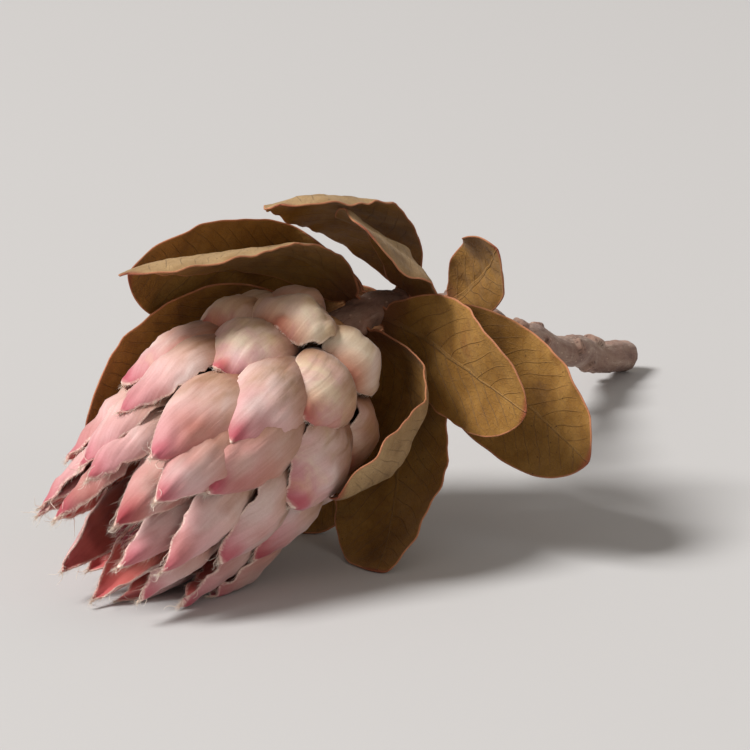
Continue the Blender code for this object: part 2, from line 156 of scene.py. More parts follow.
LEAF_TIP_TURNS_FROM = 0.6 * LEAF_TURN_IN
LEAF_SAMPLES = 240
LEAF_THICKNESS = 0.0009
LEAF_MIDDLE = 0.00070
LEAF_RIM = 0.00042
LEAF_GRID = (72, 36)
LEAF_WIDEST = 0.52
LEAF_BASE_CURVE = (2.1, 0.72)
LEAF_TIP_CURVE = (2.3, 0.60)
LEAF_BASE_WIDTH = 0.0052
LEAF_FOOT = 0.12
LEAF_CLASP = 0.10
LEAF_WAVE = 0.0011
LEAF_WAVES = 1.7
LEAF_WAVE_SHIFT = 0.37
LEAF_WAVE_LAG = 1.3
LEAF_SEAT_GAP = 0.0003

# How a blade's underside flattens against the surface that the flower lies on
PRESSED = 0.0012
FLOOR_GAP = 0.00003

# The seeds of single pieces, and relief on the bracts, as (seed, height in metres, reach in mm)
MM = 1000
SMALLEST = 1e-12
BRACT_DRAWS = 300
LEAF_DRAWS = 500
THREAD_DRAWS = 41
FLORET_DRAWS = 23
RIM_ROUNDNESS = 0.8
BLADE_REACH = 0.9997
PATTERN_SHIFT = (90, 170, 40)
BRACT_SOFT = ((0, 0.00048, 13.0), (60, 0.00014, 5.0))
BRACT_RIM_WAVE = ((120, 0.00062, 7.0),)
BRACT_DENT = 0.0008
BRACT_KEEL = 0.00030
BRACT_CREASE = (0.00040, 4.2)
BRACT_THINS_OVER = 0.0016
BRACT_CURVED = 1.08

# Relief on the leaves, the same way
LEAF_SOFT = ((700, 0.00045, 22.0), (720, 0.00016, 8.0))
LEAF_EDGE_WAVE = ((740, 0.00035, 9.0),)
LEAF_CREASE = 0.00035
LEAF_THINS_OVER = 0.0012
MIDRIB_HEIGHT = 0.00050
MIDRIB_WIDTH = 0.0007

# Hairs, loose threads, the styles between the florets, and the receptacle's mesh
STRAND_STEPS = 3
STRAND_SIDES = 3
STRAND_TAPER = 0.85
TUBE_SIDE = (0.31, 0.17, 0.93)
FRINGE_FROM = 0.66
FRINGE_HAIRS = (110, 70)
FRINGE_LENGTHS = (0.0008, 0.0012)
FRINGE_WIDTH = 0.00005
THREADED_BRACTS = 22
THREADS_EACH = 3
THREAD_STEPS = 9
THREAD_STEP = 0.0006
THREAD_RADII = (0.00009, 0.00004)
THREAD_SIDES = 5
FLORET_RINGS = 22
FLORET_SIDES = 8
FLORET_SHARE = 0.80
STYLE_SHARE = 0.34
STYLE_PROUD = 0.0015
FLORET_HAIRS = 46
FLORET_HAIR_WIDTH = 0.00006
CORE_RINGS = 40
CORE_SIDES = 48
CORE_RIPPLE = 0.03

# Relief on the bark, and the rings of the cut end as (share of the radius, how far it is sunk)
STEM_START = -0.0015
BARK_TWIST = 9
BARK_RIPPLES = ((0.00005, 9, 2.2, 90), (0.00003, 17, 1.7, 210))
BARK_LUMPS = ((0.00014, 900, np.cos, 6, 9.0), (0.00006, 901, np.sin, 9, 3.6))
CUSHION = (0.0034, 0.0026, 0.0007)
CUT_RINGS = (
    (0.985, 0.00012), (0.94, 0.00016), (0.8, 0.0), (0.6, 0.0),
    (0.4, 0.0), (0.2, -0.0001), (0.05, -0.0002),
)
CUT_ROUGHNESS = 0.00010
SCAR_DENTS = (-0.42, 0.0, 0.42)
SCAR_DENT_SIZE = 0.00036
SCAR_DENT_DEPTH = 0.00022

# The floor and the light
FLOOR_TONE = (191, 190, 190)
FLOOR_HALF = 30
LAMP_AWAY = 8.0
SKY = (1.0, 0.94, 0.88, 1.0)
SKY_STRENGTH = 0.35

# The camera looks at the flower from this side, as (azimuth, elevation)
CAMERA_SIDE = (-57, 15)
CAMERA_AWAY = 1.06
CAMERA_WIDTH = 0.205
CAMERA_SENSOR = 36
CAMERA_LOOKS_AT = Vector((-0.028, 0.010, 0.040))


def smooth_line(points, x):
    """The second value at x on a smooth line through points, as arrays."""
    xs, ys = (np.array(values) for values in zip(*points))
    slopes = np.gradient(ys, xs)
    i = np.clip(np.searchsorted(xs, x, side="right") - 1, 0, len(xs) - 2)
    step = xs[i + 1] - xs[i]
    t = np.clip((x - xs[i]) / step, 0, 1)
    rise = ease(t)
    bend_in = t * (1 - t) ** 2 * step * slopes[i]
    bend_out = t * t * (t - 1) * step * slopes[i + 1]
    return ys[i] * (1 - rise) + ys[i + 1] * rise + bend_in + bend_out


def ease(t):
    t = np.clip(t, 0, 1)
    return t * t * (3 - 2 * t)


def at_share(pairs, share):
    """The value at a share, between the (share, value) pairs on either side of it."""
    return float(np.interp(share, *zip(*pairs)))


def hump(x, middle, width):
    return np.exp(-(((x - middle) / width) ** 2))


def cubic(a, b, c, d, t):
    """Where t lies on a curve from a to d that is drawn towards b and c."""
    back = 1 - t
    return a * back**3 + b * (3 * back**2 * t) + c * (3 * back * t**2) + d * t**3


def walked(points):
    """The distance along a line of points, at each of them."""
    steps = np.linalg.norm(np.diff(points, axis=0), axis=1)
    return np.concatenate([[0], np.cumsum(steps)])


def scatter(draw, spread):
    return np.array([draw.gauss(0, spread) for _ in range(3)])


def unevenness(seed, x, y, reach):
    """A smooth uneven height of about one over a plane, from waves about reach long."""
    draw = random.Random(seed)
    height = 0
    for _ in range(6):
        angle = draw.uniform(0, 2 * math.pi)
        rate = draw.uniform(0.5, 1.7) * 2 * math.pi / reach
        phase = draw.uniform(0, 2 * math.pi)
        height = height + np.sin(rate * (x * math.cos(angle) + y * math.sin(angle)) + phase)
    return height / 6**0.5


def waves(layers, number, x, y):
    """The relief of layers of unevenness, each (seed, height in metres, reach in mm)."""
    return sum(unevenness(seed + number, x, y, reach) * tall for seed, tall, reach in layers)


# The stem's line


def head_direction():
    level = math.cos(HEAD_NOD)
    return Vector((-level * math.cos(HEAD_TURN), level * math.sin(HEAD_TURN), -math.sin(HEAD_NOD)))


def stem_point(t):
    """The stem's middle from the neck, t 0, to the cut end, t 1, on one curve."""
    towards_end = Vector((math.cos(CUT_END_SLOPE), CUT_END_ASIDE, -math.sin(CUT_END_SLOPE)))
    second = NECK - head_direction() * NECK_REACH
    third = CUT_END - towards_end * CUT_END_REACH
    return cubic(NECK, second, third, CUT_END, t)


STEM_STEPS = np.linspace(0, 1, STEM_SAMPLES)
STEM_WALKED = walked(np.array([stem_point(t) for t in STEM_STEPS]))


def stem_share(behind):
    """The stem's t at a distance behind the neck, measured along the stem."""
    return float(np.interp(behind, STEM_WALKED, STEM_STEPS))


def axes_at(place, forward):
    """A frame at a place with Z along forward and X as near to upright as that allows."""
    up = (Vector((0, 0, 1)) - forward * forward.z).normalized()
    side = forward.cross(up)
    axes = Matrix((up, side, forward)).transposed().to_4x4()
    axes.translation = place
    return axes


def stem_axes(t):
    """Axes in the stem at t: Z along the stem towards the head and X on its upper side."""
    forward = (stem_point(t - DIRECTION_STEP) - stem_point(t + DIRECTION_STEP)).normalized()
    axes = axes_at(stem_point(t), forward)
    turn = 2 * math.pi * t * STEM_TURNS
    sway = STEM_SWAY * min(1, max(t, 0) / SWAY_FADES[0]) * min(1, (1 - t) / SWAY_FADES[1])
    return axes @ Matrix.Translation((sway * math.cos(turn), sway * math.sin(turn), 0))


def stem_radius(t):
    swell = math.exp(-((t / STEM_SWELL) ** 2)) * (STEM_NECK_RADIUS - STEM_RADIUS)
    return STEM_RADIUS + swell + (STEM_CUT_RADIUS - STEM_RADIUS) * t * t


# The bracts' and the leaves' middle surfaces


BRACT_VALUES = "share turn root_r root_z tip_r tip_z tip_angle width plump hook cup skew roll"
Bract = namedtuple("Bract", BRACT_VALUES)


def bract_plan():
    """Every bract of the head, from the lowest and outermost to the innermost."""
    draw = random.Random(BRACT_SEED)
    heights = [height for height, _ in HEAD_OUTLINE]
    way = walked(HEAD_OUTLINE)
    for k in range(BRACTS):
        share = k / (BRACTS - 1)
        looser = LOWEST_TIP_SCATTER + share
        up_outline = FIRST_TIP + (way[-1] - FIRST_TIP) * (1 - (1 - share) ** TIP_CROWDING)
        up_outline = min(up_outline + draw.uniform(*TIP_SCATTER_ALONG) * looser, way[-1])
        tip_z = float(np.interp(up_outline, way, heights))
        near = np.array((tip_z - SLOPE_STEP, tip_z, tip_z + SLOPE_STEP))
        around = smooth_line(HEAD_OUTLINE, near)
        outline_angle = math.atan2(around[2] - around[0], 2 * SLOPE_STEP)
        lean = TIP_LEAN + math.radians(draw.uniform(*TIP_LEAN_SCATTER)) * share
        yield Bract(
            share=share,
            turn=k * GOLDEN_ANGLE + math.radians(draw.uniform(-TURN_SCATTER, TURN_SCATTER)),
            root_r=at_share(BRACT_ROOT_RADIUS, share),
            root_z=at_share(BRACT_ROOT_HEIGHT, share),
            tip_r=around[1] + draw.uniform(*TIP_SCATTER_OUT) * looser,
            tip_z=tip_z,
            tip_angle=max(outline_angle, STEEPEST_TIP) + lean,
            width=at_share(BRACT_WIDTH, share) * draw.uniform(*WIDTH_SCATTER),
            plump=at_share(BRACT_PLUMP, share),
            hook=at_share(BRACT_HOOK, share),
            cup=math.radians(at_share(BRACT_CUP, share)),
            skew=draw.uniform(-SKEW_SCATTER, SKEW_SCATTER) * (LOWEST_SKEW + share),
            roll=math.radians(draw.uniform(-ROLL_SCATTER, ROLL_SCATTER)),
        )


def bract_outline(share, u):
    """Half width at u, as a share of the full half width: blunt low on the head, pointed inside."""
    widest = at_share(BRACT_WIDEST, share)
    foot = BRACT_FOOT_WIDTH + (1 - BRACT_FOOT_WIDTH) * ease(u / widest)
    over = np.clip((u - widest) / (1 - widest), 0, 1)
    rounded = (1 - over ** at_share(BRACT_BLUNT, share)) ** at_share(BRACT_TAPER, share)
    return np.where(u < widest, foot, rounded)


def bract_surface(bract, u, v, relief):
    """Points in the head's frame of a bract's middle surface: u from root to tip, v across."""
    root = np.array((bract.root_r, bract.root_z))
    tip = np.array((bract.tip_r, bract.tip_z))
    reach = float(np.linalg.norm(tip - root))
    lean = np.array((math.sin(bract.tip_angle), math.cos(bract.tip_angle)))
    rise = math.radians(at_share(BRACT_ROOT_ANGLE, bract.share))
    second = root + ROOT_REACH * reach * np.array((math.sin(rise), math.cos(rise)))
    third = tip - TIP_REACH * reach * lean
    root, second, third, tip = (point[:, None] for point in (root, second, third, tip))
    line = cubic(root, second, third, tip, u)
    w = 1 - u
    along = (second - root) * (3 * w**2) + (third - second) * (6 * w * u) + (tip - third) * (3 * u**2)
    along /= np.linalg.norm(along, axis=0)
    outward = np.array((along[1], -along[0]))
    half = 0.5 * bract.width * bract_outline(bract.share, u)
    cup = bract.cup * (1 + TIP_CUPPING * ease((u - TIP_CUPS_FROM) / (1 - TIP_CUPS_FROM)))
    lateral = half * np.sin(cup * v) / np.sin(cup)
    inward = half * (1 - np.cos(cup * v)) / np.sin(cup)
    proud = bract.plump * np.sin(math.pi * u) ** 2 - bract.hook * u**6
    proud = proud - inward + lateral * math.sin(bract.roll) * u + relief
    lateral = lateral + bract.skew * u**3
    r = line[0] + outward[0] * proud
    z = line[1] + outward[1] * proud
    turn = np.array((math.cos(bract.turn), math.sin(bract.turn)))
    return np.stack((r * turn[0] - lateral * turn[1], r * turn[1] + lateral * turn[0], z), axis=-1)


def leaf_outline(u):
    """Half width at u as a share of the full half width: a broad blade with a rounded tip."""
    low = np.clip(1 - u / LEAF_WIDEST, 0, 1)
    high = np.clip((u - LEAF_WIDEST) / (1 - LEAF_WIDEST), 0, 1)
    below = (1 - low ** LEAF_BASE_CURVE[0]) ** LEAF_BASE_CURVE[1]
    above = (1 - high ** LEAF_TIP_CURVE[0]) ** LEAF_TIP_CURVE[1]
    return np.where(u < LEAF_WIDEST, below, above)


def leaf_half(leaf, u):
    half = 0.5 * leaf.width * leaf_outline(u)
    return np.maximum(half, 0.5 * LEAF_BASE_WIDTH * (1 - ease(u / LEAF_FOOT)))


def leaf_surface(leaf, number, radius, u, v, relief):
    """Points of a leaf's middle surface, X away from the stem and Z along it.

    The leaf's foot clasps a stem of this radius.
    """
    fine = np.linspace(0, 1, LEAF_SAMPLES)
    low = leaf.base + (leaf.middle - leaf.base) * ease(fine / LEAF_TURN_IN)
    towards_tip = ease((fine - LEAF_TIP_TURNS_FROM) / (1 - LEAF_TIP_TURNS_FROM))
    high = (leaf.tip - leaf.middle) * towards_tip
    angle = np.radians(low + high)
    step = leaf.length / (len(fine) - 1)
    out = np.interp(u, fine, np.cumsum(np.sin(angle)) * step)
    along = np.interp(u, fine, np.cumsum(np.cos(angle)) * step)
    angle = np.interp(u, fine, angle)
    half = leaf_half(leaf, u)
    lateral = half * np.sin(leaf.cup * v) / leaf.cup
    raised = half * (1 - np.cos(leaf.cup * v)) / leaf.cup
    lag = LEAF_WAVE_LAG * np.sign(v)
    wave = np.sin(2 * math.pi * (LEAF_WAVES * u + LEAF_WAVE_SHIFT * number) + lag)
    raised = raised + LEAF_WAVE * wave * v**2 * np.sin(math.pi * u) + relief
    twist = np.radians(leaf.twist) * u
    side = lateral * np.cos(twist) - raised * np.sin(twist) + leaf.bend * leaf.length * u**2
    lift = lateral * np.sin(twist) + raised * np.cos(twist)
    out = out - side**2 / (2 * radius) * (1 - ease(u / LEAF_CLASP))
    return np.stack((out - np.cos(angle) * lift, side, along + np.sin(angle) * lift), axis=-1)


# Meshes


def unit(vectors):
    """The vectors, each cut or stretched to a length of one."""
    return vectors / np.maximum(np.linalg.norm(vectors, axis=-1, keepdims=True), SMALLEST)


def round_about(radius, turn, height):
    """Points round an axis, at a radius and a turn about it, and at a height along it."""
    radius, turn, height = np.broadcast_arrays(radius, turn, height)
    return np.stack((radius * np.cos(turn), radius * np.sin(turn), height), axis=-1)


def quads(*corners):
    """Faces of four corners, from four grids of point numbers."""
    return np.stack(corners, axis=-1).reshape(-1, 4).tolist()


def ring_faces(rows, columns, turned=False):
    """Faces of rows of rings of points, closed at both ends, turned inside out or not."""
    grid = np.arange(rows * columns).reshape(rows, columns)
    beside = np.roll(grid, -1, axis=1)
    corners = [grid[:-1], beside[:-1], beside[1:], grid[1:]]
    ends = [grid[0, ::-1], grid[-1]]
    if turned:
        corners = [corners[0], *corners[:0:-1]]
        ends = [end[::-1] for end in ends]
    return quads(*corners) + [end.tolist() for end in ends]


def placed(points, axes):
    return points @ np.array(axes.to_3x3()).T + np.array(axes.translation)


def pressed(points, thickness):
    """Points of a middle surface, kept above the surface that the flower lies on."""
    rest = 0.5 * thickness
    over = (points[..., 2] - rest) / PRESSED
    low = rest + PRESSED * np.maximum(over + 1, 0) ** 2 / 4
    points[..., 2] = np.where(over < 1, low, points[..., 2])
    return points


def added(name, data):
    """A new object in the scene."""
    made = bpy.data.objects.new(name, data)
    bpy.context.scene.collection.objects.link(made)
    return made


def mesh_object(name, points, faces, readings, finish):
    """A smooth mesh with named readings at its points, riding on the flower's one body."""
    mesh = bpy.data.meshes.new(name)
    mesh.from_pydata(np.asarray(points, float).tolist(), [], faces)
    for key, values in readings.items():
        made = mesh.attributes.new(key, "FLOAT_VECTOR", "POINT")
        made.data.foreach_set("vector", np.asarray(values, np.float32).ravel())
    mesh.shade_smooth()
    mesh.materials.append(finish)
    made = added(name, mesh)
    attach(made, "root")
    return made


def blade_grid(grid):
    """Values of u and v that lie closer together near the tip and near the rims."""
    u = (1 - np.cos(np.linspace(0, math.pi, grid[0] + 1))) / 2 * BLADE_REACH
    v = np.sin(np.linspace(-math.pi / 2, math.pi / 2, grid[1] + 1))
    return np.meshgrid(u, v, indexing="ij")


def skins(middle, inner_half, outer_half):
    """A closed blade round a grid of middle points: its points and faces, and each point's
    place in the grid and its side, 1 for outer, -1 for inner and 0 for the rim."""
    rows, columns = middle.shape[:2]
    inward = unit(np.cross(np.gradient(middle, axis=0), np.gradient(middle, axis=1)))
    inner = middle + inward * inner_half[..., None]
    outer = middle - inward * outer_half[..., None]
    grid = np.arange(rows * columns).reshape(rows, columns)
    edge = np.concatenate([grid[:-1, 0], grid[-1, :-1], grid[:0:-1, -1], grid[0, :0:-1]])
    row, column = np.divmod(edge, columns)
    inside = grid[np.clip(row, 1, rows - 2), np.clip(column, 1, columns - 2)]
    flat = middle.reshape(-1, 3)
    away = unit(flat[edge] - flat[inside])
    reach = 0.5 * (inner_half + outer_half).ravel()[edge]
    rim = flat[edge] + away * reach[:, None] * RIM_ROUNDNESS
    points = np.concatenate([outer.reshape(-1, 3), inner.reshape(-1, 3), rim])
    count = rows * columns
    a, b, c, d = grid[:-1, :-1], grid[1:, :-1], grid[1:, 1:], grid[:-1, 1:]
    faces = quads(d, c, b, a) + quads(a + count, b + count, c + count, d + count)
    ring = np.arange(len(edge))
    after = (ring + 1) % len(edge)
    over, under, middles = edge + count, edge, ring + 2 * count
    faces += quads(over[after], over, middles, middles[after])
    faces += quads(middles[after], middles, under, under[after])
    source = np.concatenate([grid.ravel(), grid.ravel(), edge])
    side = np.concatenate([np.ones(count), -np.ones(count), np.zeros(len(edge))])
    return points, faces, source, side


def rim_gap(u, v, half, length):
    """How far in from the rim each point of a blade lies."""
    return np.minimum(half * (1 - np.abs(v)), (1 - u) * length)


def blade_readings(u, v, half, length, side, source, share, chance):
    """What the materials read at each point: mm across, along and in from the rim, the place
    from foot to tip with the side and the blade's share, and a place in the grain's pattern."""
    grids = (half * v, u * length, rim_gap(u, v, half, length))
    blade = np.stack([values.ravel()[source] * MM for values in grids], axis=1)
    place = np.stack((u.ravel()[source], side, np.full(len(side), share)), axis=1)
    pattern = np.column_stack((blade[:, :2], side * 2)) + np.array(PATTERN_SHIFT) * chance
    return {"blade": blade, "place": place, "pattern": pattern}


def spokes(ways, other, sides):
    """Directions square to each way and evenly round it, the first square to another one too."""
    first = unit(np.cross(ways, other))
    turn = np.linspace(0, 2 * math.pi, sides, endpoint=False)[:, None]
    return first[:, None] * np.cos(turn) + np.cross(ways, first)[:, None] * np.sin(turn)


def root_to_tip(steps, sides, count):
    """What the hairs' material reads: 0 at each root to 1 at each tip."""
    place = np.tile(np.repeat(np.linspace(0, 1, steps + 1), sides), count)
    return {"place": np.stack((place, place * 0, place * 0), axis=1)}


def strands(name, hairs, width, finish):
    """Tapered hairs that bend over, from the root, way, length and bend of each."""
    roots, ways, lengths, bends = (np.array(values, float) for values in zip(*hairs))
    ways = unit(ways)
    upright = np.abs(ways[:, 2:]) >= 0.9
    ring = spokes(ways, np.where(upright, [[1.0, 0.0, 0.0]], [[0.0, 0.0, 1.0]]), STRAND_SIDES)
    rows = []
    for t in np.linspace(0, 1, STRAND_STEPS + 1):
        centre = roots + lengths[:, None] * (ways * t + bends * t * t)
        rows.append(centre[:, None] + width * (1 - STRAND_TAPER * t) * ring)
    points = np.concatenate(rows, axis=1)
    points[..., 2] = np.maximum(points[..., 2], FLOOR_GAP)
    *walls, _, tip = ring_faces(STRAND_STEPS + 1, STRAND_SIDES)
    starts = np.arange(len(roots))[:, None] * points.shape[1]
    faces = (starts[:, None] + np.array(walls)).reshape(-1, 4).tolist() + (starts + tip).tolist()
    readings = root_to_tip(STRAND_STEPS, STRAND_SIDES, len(roots))
    return mesh_object(name, points.reshape(-1, 3), faces, readings, finish)


def tube(points, radii, sides):
    """Points and faces of a tube through points, closed at both ends."""
    points = np.asarray(points, float)
    ring = spokes(unit(np.gradient(points, axis=0)), TUBE_SIDE, sides)
    walls = points[:, None] + ring * np.asarray(radii)[:, None, None]
    return walls.reshape(-1, 3), ring_faces(len(points), sides)


def joined(tubes):
    """Points and faces of many tubes as one mesh."""
    points, faces = [], []
    start = 0
    for body, sides in tubes:
        points.append(body)
        faces += [[start + i for i in face] for face in sides]
        start += len(body)
    return np.concatenate(points), faces


# Materials


def screen(*colour):
    """A colour as it shows on a screen, 0 to 255."""
    shares = (part / 255 for part in colour)
    return (*(c / 12.92 if c <= 0.04045 else ((c + 0.055) / 1.055) ** 2.4 for c in shares), 1.0)


class Finish:
    """A Principled material, and short ways to lay nodes in it."""

    def __init__(self, name, roughness, specular, sheen=0.0):
        self.material = bpy.data.materials.new(name)
        self.material.use_nodes = True
        self.tree = self.material.node_tree
        self.shader = self.tree.nodes["Principled BSDF"]
        looks = {"Roughness": roughness, "Specular IOR Level": specular, "Sheen Weight": sheen}
        for key, value in looks.items():
            self.shader.inputs[key].default_value = value

    def add(self, kind, values, output=0, **settings):
        made = self.tree.nodes.new("ShaderNode" + kind)
        for key, value in settings.items():
            setattr(made, key, value)
        for key, value in values.items():
            if isinstance(value, bpy.types.NodeSocket):
                self.tree.links.new(value, made.inputs[key])
            else:
                made.inputs[key].default_value = value
        return made.outputs[output]

    def read(self, name):
        return self.add("Attribute", {}, "Vector", attribute_name=name)

    def parts(self, name):
        """The three numbers of a reading."""
        return self.add("SeparateXYZ", {0: self.read(name)}, slice(3))

    def sum(self, kind, a, b=0.0):
        return self.add("Math", {0: a, 1: b}, operation=kind)

    def times(self, a, b):
        return self.sum("MULTIPLY", a, b)

    def plus(self, a, b):
        return self.sum("ADD", a, b)

    def step(self, value, low, high, to_low=0.0, to_high=1.0):
        return self.add(
            "MapRange",
            {"Value": value, "From Min": low, "From Max": high, "To Min": to_low, "To Max": to_high},
            interpolation_type="SMOOTHSTEP",
        )

    def stretched(self, vector, scale):
        return self.add("VectorMath", {0: vector, 1: scale}, operation="MULTIPLY")

    def noise(self, vector, scale, detail=3.0, roughness=0.55, distortion=0.0):
        looks = {"Detail": detail, "Roughness": roughness, "Distortion": distortion}
        return self.add("TexNoise", {"Vector": vector, "Scale": scale, **looks}, "Fac")

    def cells(self, vector, scale, feature="F1"):
        return self.add("TexVoronoi", {"Vector": vector, "Scale": scale}, "Distance", feature=feature)

    def ramp(self, value, *stops):
        """Colours over a value, from stops that each give a place and a colour on a screen."""
        made = self.add("ValToRGB", {0: value}, "Color")
        bar = made.node.color_ramp.elements
        while len(bar) < len(stops):
            bar.new(0.5)
        for stop, (place, *colour) in zip(bar, stops):
            stop.position, stop.color = place, screen(*colour)
        return made

    def mix(self, factor, a, b, blend="MIX"):
        a, b = (screen(*c) if isinstance(c, tuple) else c for c in (a, b))
        return self.add("Mix", {0: factor, 6: a, 7: b}, 2, data_type="RGBA", blend_type=blend)

    def lay(self, mask, tone, blend="MIX"):
        """Lays a tone over the colour so far, where the mask is high."""
        self.colour = self.mix(mask, self.colour, tone, blend)

    def over(self, mask, strength, tone):
        self.lay(self.times(mask, strength), tone)

    def shade(self, value, strength, dark, low=0.30, high=0.70):
        """Multiplies the colour so far by a dark tint where the value is low."""
        self.lay(strength, self.ramp(value, (low, *dark), (high, 255, 255, 255)), "MULTIPLY")

    def bump(self, height, distance, strength, **under):
        return self.add("Bump", {"Height": height, "Distance": distance, "Strength": strength, **under})

    def finish(self, **others):
        for key, value in {"Base Color": self.colour, **others}.items():
            self.tree.links.new(value, self.shader.inputs[key])
        return self.material


def bract_finish():
    """Dry papery bract: cream low on the head, pink further up, ribbed, with a pale rim."""
    f = Finish("bract_skin", 0.62, 0.30, 0.25)
    across, _, from_rim = f.parts("blade")
    u, side, share = f.parts("place")
    pattern = f.read("pattern")
    # both ramps run to dark brown towards the foot: painted shade where the foot lies deep under other
    # bracts
    low = f.ramp(
        u, (0.00, 150, 108, 66), (0.40, 178, 138, 92), (0.58, 224, 202, 166), (0.78, 236, 219, 194),
        (0.91, 224, 174, 148), (1.00, 194, 124, 102),
    )
    high = f.ramp(
        u, (0.00, 152, 110, 68), (0.34, 186, 142, 98), (0.50, 224, 194, 172), (0.72, 225, 184, 181),
        (0.90, 212, 150, 155), (0.975, 202, 112, 126), (1.00, 246, 220, 208),
    )
    clouds = f.noise(pattern, 0.09, 4.0, 0.6)
    turn = f.plus(share, f.step(clouds, 0.3, 0.7, -0.12, 0.12))
    f.colour = f.mix(f.step(turn, 0.14, 0.36), low, high)
    # painted highlight: pale patches along one side of some bracts
    painted_highlight = f.noise(f.stretched(pattern, (0.8, 0.35, 1.0)), 0.11, 3.0, 0.5)
    painted_highlight = f.times(f.step(painted_highlight, 0.46, 0.62), f.step(u, 0.96, 0.78))
    f.over(painted_highlight, 0.70, (234, 216, 212))
    # a deeper salmon inside the cup of each upper bract
    inside = f.times(f.step(side, 0.0, -0.6), f.step(share, 0.1, 0.4))
    f.lay(inside, f.ramp(u, (0.4, 188, 112, 86), (0.8, 216, 116, 108), (1.0, 212, 108, 108)))
    # a small blush below the tip, peach low on the head and magenta further up
    blush = f.times(f.step(f.sum("ABSOLUTE", across), 2.2, 0.2), f.step(u, 0.83, 0.95))
    blush = f.times(blush, f.step(from_rim, 0.1, 0.5))
    blush = f.times(blush, f.step(f.noise(pattern, 0.035, 1.0), 0.38, 0.62, 0.20, 0.85))
    f.lay(blush, f.mix(f.step(share, 0.1, 0.4), (198, 114, 88), (186, 72, 94)))
    # olive brown stains towards the foot, more on the lower bracts
    stains = f.noise(f.stretched(pattern, (1.0, 0.30, 1.0)), 0.16, 4.0, 0.6)
    stain = f.times(f.step(stains, 0.44, 0.70), f.step(share, 0.95, 0.2, 0.30, 0.85))
    stain = f.times(stain, f.step(u, 0.84, 0.50))
    f.lay(stain, (164, 126, 66))
    # ribs along the bract, a fine grain, and shade where it lies under others
    ribs = f.noise(f.stretched(pattern, (1.0, 0.055, 1.0)), 1.15, 3.0, 0.6, 0.3)
    grain = f.noise(pattern, 2.6, 4.0, 0.6)
    f.shade(ribs, 0.28, (196, 150, 134))
    f.shade(f.noise(pattern, 0.030, 2.0), 0.70, (206, 148, 116), 0.36, 0.56)
    f.shade(grain, 0.20, (200, 178, 162))
    f.shade(u, 0.75, (176, 122, 84), 0.42, 0.68)
    # a pale rim, broken in places
    rim = f.times(f.step(from_rim, 0.58, 0.10), f.step(u, 0.5, 0.78))
    rim = f.times(rim, f.step(grain, 0.36, 0.62))
    f.over(rim, 0.75, (248, 228, 212))
    ribbed = f.bump(ribs, 0.00030, 0.50)
    return f.finish(Normal=f.bump(grain, 0.00010, 0.5, Normal=ribbed))


def leaf_finish():
    """Dry leathery leaf: olive brown with a net of veins, golden inside, with an orange rim."""
    f = Finish("leaf_skin", 0.60, 0.26, 0.06)
    across, along, from_rim = f.parts("blade")
    u, side, _ = f.parts("place")
    pattern = f.read("pattern")
    aside = f.sum("ABSOLUTE", across)
    clouds = f.noise(pattern, 0.055, 5.0, 0.62, 0.4)
    outer = f.ramp(
        clouds, (0.28, 122, 92, 56), (0.45, 162, 130, 88), (0.58, 182, 150, 106), (0.74, 150, 112, 64)
    )
    inner = f.ramp(
        clouds, (0.28, 114, 77, 31), (0.45, 150, 107, 45), (0.60, 169, 126, 62), (0.76, 134, 85, 36)
    )
    inside = f.step(side, 0.4, -0.4)
    f.colour = f.mix(inside, outer, inner)
    # side veins in even arcs from the midrib towards the rim
    wander = f.step(f.noise(pattern, 0.06, 1.0), 0.2, 0.8, -1.8, 1.8)
    arc = f.times(f.sum("POWER", aside, 1.18), 0.78)
    climb = f.plus(f.sum("SUBTRACT", along, arc), wander)
    climb = f.plus(climb, f.step(across, -0.01, 0.01, 0.0, 2.9))
    near_vein = f.sum("PINGPONG", climb, 2.9)
    vein = f.times(f.step(near_vein, 0.30, 0.04), f.step(from_rim, 0.8, 4.5))
    coarse = f.cells(f.stretched(pattern, (1.0, 0.8, 0.2)), 0.55, "DISTANCE_TO_EDGE")
    close = f.cells(f.stretched(pattern, (1.0, 0.9, 0.2)), 1.5, "DISTANCE_TO_EDGE")
    close = f.times(f.step(close, 0.10, 0.01), 0.6)
    net = f.sum("MAXIMUM", f.step(coarse, 0.07, 0.01), close)
    midrib_edge = f.step(u, 0.0, 0.95, 0.72, 0.02)
    midrib = f.step(f.sum("SUBTRACT", aside, midrib_edge), 0.28, 0.0)
    lines = f.sum("MAXIMUM", f.times(vein, 0.38), f.times(net, 0.20))
    f.lay(lines, f.mix(inside, (112, 84, 46), (84, 52, 22)))
    f.over(midrib, 0.55, f.mix(inside, (196, 164, 112), (160, 120, 66)))
    # dark specks, worn pale patches, and the foot's reddish brown
    specks = f.times(f.step(f.cells(pattern, 0.42), 0.13, 0.07), f.step(clouds, 0.44, 0.58))
    f.over(specks, 0.7, (66, 42, 24))
    worn = f.step(f.noise(pattern, 0.35, 6.0, 0.7), 0.58, 0.78)
    f.over(worn, 0.35, f.mix(inside, (188, 158, 112), (178, 134, 70)))
    f.lay(f.step(u, 0.16, 0.02, 0.0, 0.8), (124, 76, 50))
    # the rim, salmon, weaker in places and browner at the tip
    fine = f.noise(pattern, 1.6, 5.0, 0.65)
    rim = f.times(f.step(from_rim, 0.40, 0.10), f.step(clouds, 0.30, 0.50, 0.40, 0.85))
    f.lay(rim, (202, 132, 96))
    f.lay(f.step(u, 0.965, 0.995, 0.0, 0.7), (142, 66, 44))
    f.shade(fine, 0.25, (170, 158, 146))
    raised = f.plus(f.times(vein, 0.7), f.times(net, 0.30))
    raised = f.plus(f.plus(raised, midrib), f.times(fine, 0.5))
    normal = f.bump(raised, 0.00030, 0.8)
    rough = f.step(fine, 0.2, 0.8, 0.48, 0.72)
    return f.finish(Normal=normal, Roughness=rough)


